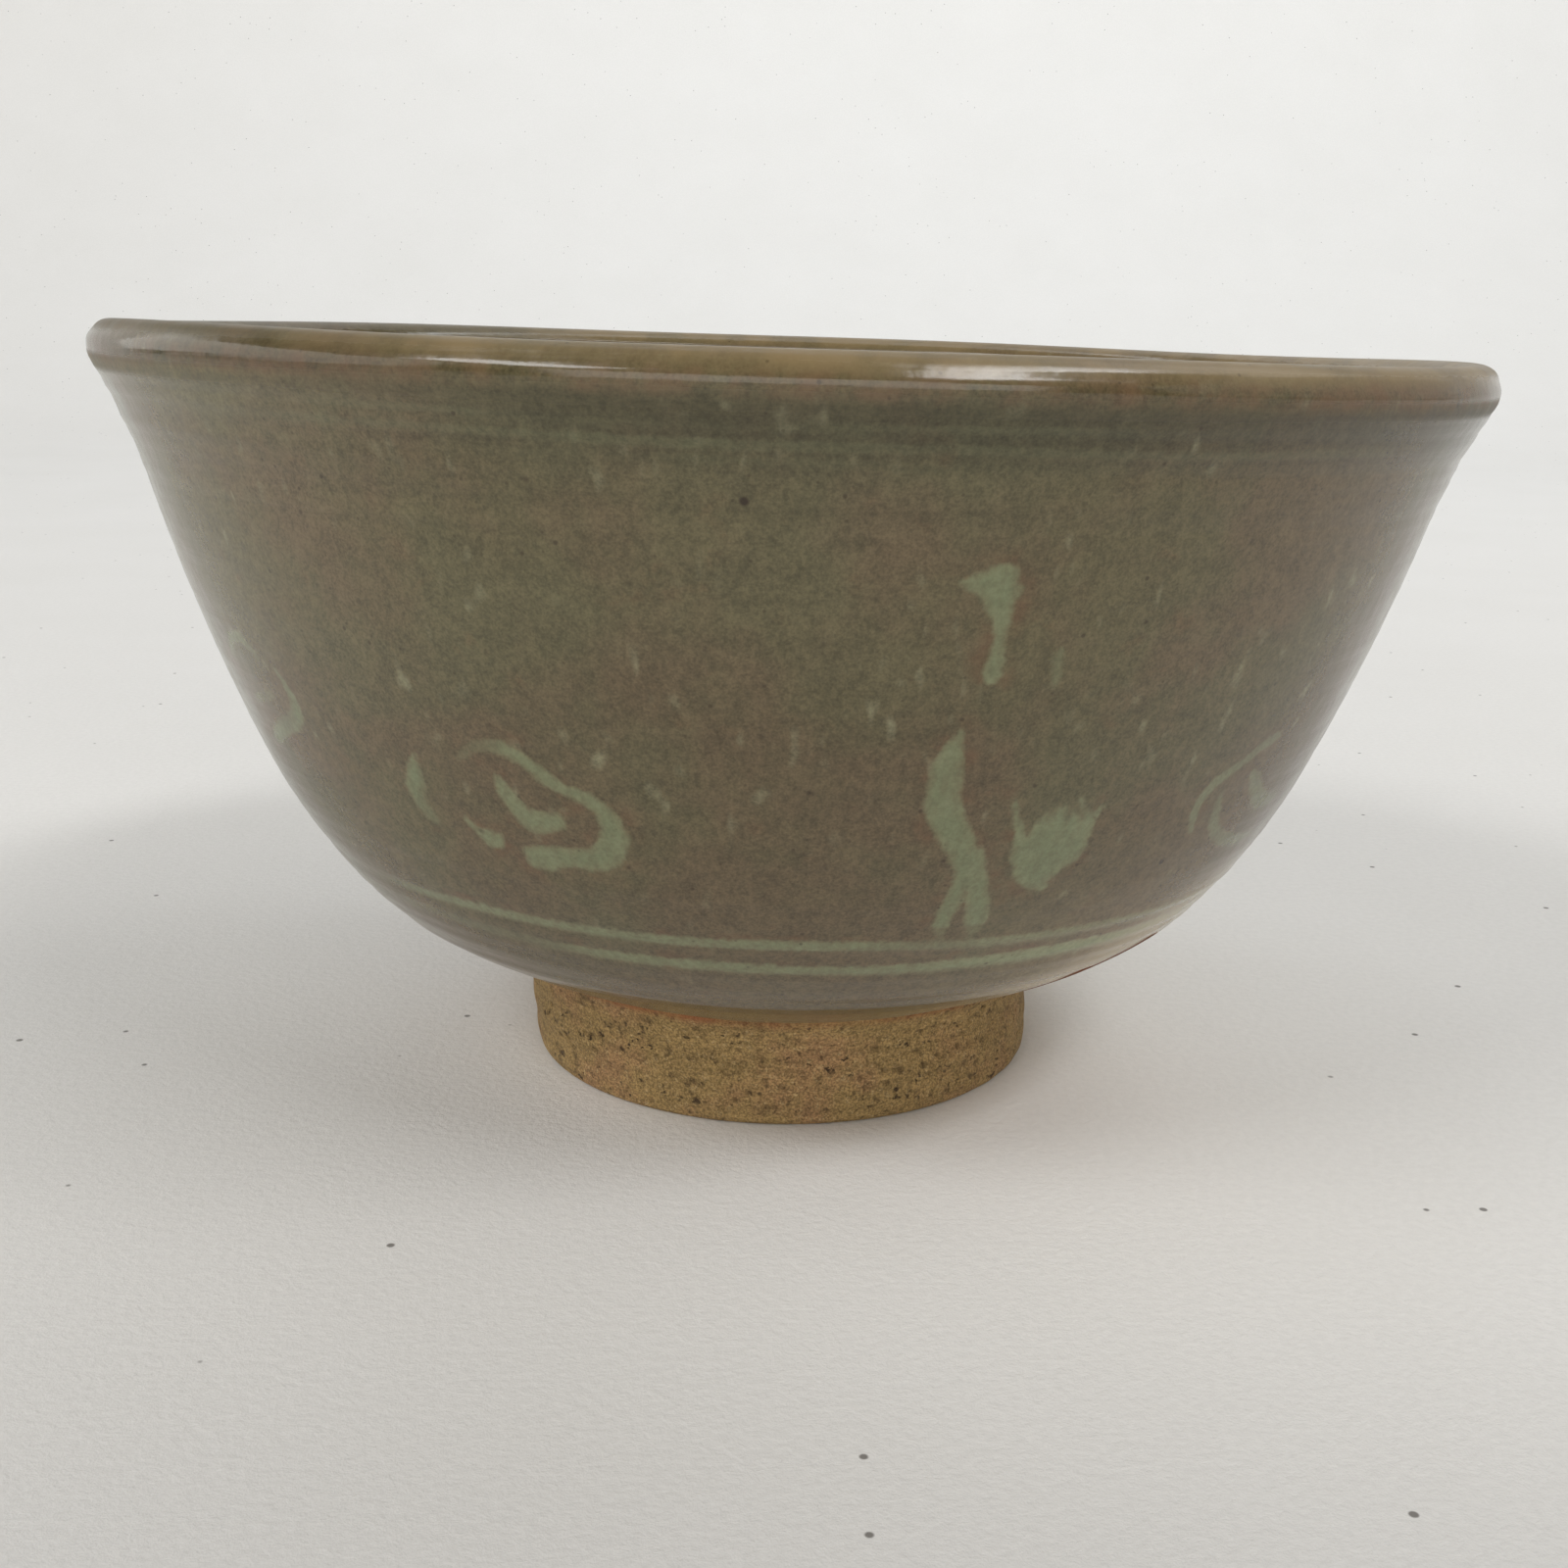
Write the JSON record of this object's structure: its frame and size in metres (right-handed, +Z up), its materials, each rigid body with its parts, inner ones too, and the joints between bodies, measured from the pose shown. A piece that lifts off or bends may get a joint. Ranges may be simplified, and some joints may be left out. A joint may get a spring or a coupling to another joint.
{
  "type": "matcha bowl",
  "caption": "Round footed tea bowl with a flared lip, a deep open inside, flush slip clouds and cranes under a glaze, and a bare foot ring.",
  "frame": {"origin": "centre of the foot, on the table", "axes": "+Z up along the bowl's axis, -Y towards the decorated front, +X to its right"},
  "size_m": [0.13, 0.13, 0.0718],
  "materials": {
    "clay": "matte",
    "foot_clay": "rough, sandy and unglazed",
    "joint_slip": "matte",
    "slip": "smooth, under glaze",
    "outer_glaze": "glossy",
    "inner_glaze": "glossy"
  },
  "bodies": {
    "root": {"clay_body": "clay", "foot_ring": "foot_clay", "foot_joint": "joint_slip", "rim_line_1": "slip", "rim_line_2": "slip", "rim_line_3": "slip", "base_line_upper": "slip", "base_line_lower": "slip", "cloud_1": "slip", "cloud_2": "slip", "cloud_3": "slip", "cloud_4": "slip", "cloud_5": "slip", "cloud_6": "slip", "crane_1": "slip", "crane_2": "slip", "crane_3": "slip", "outer_glaze": "outer_glaze", "inner_glaze": "inner_glaze"}
  },
  "joints": []
}
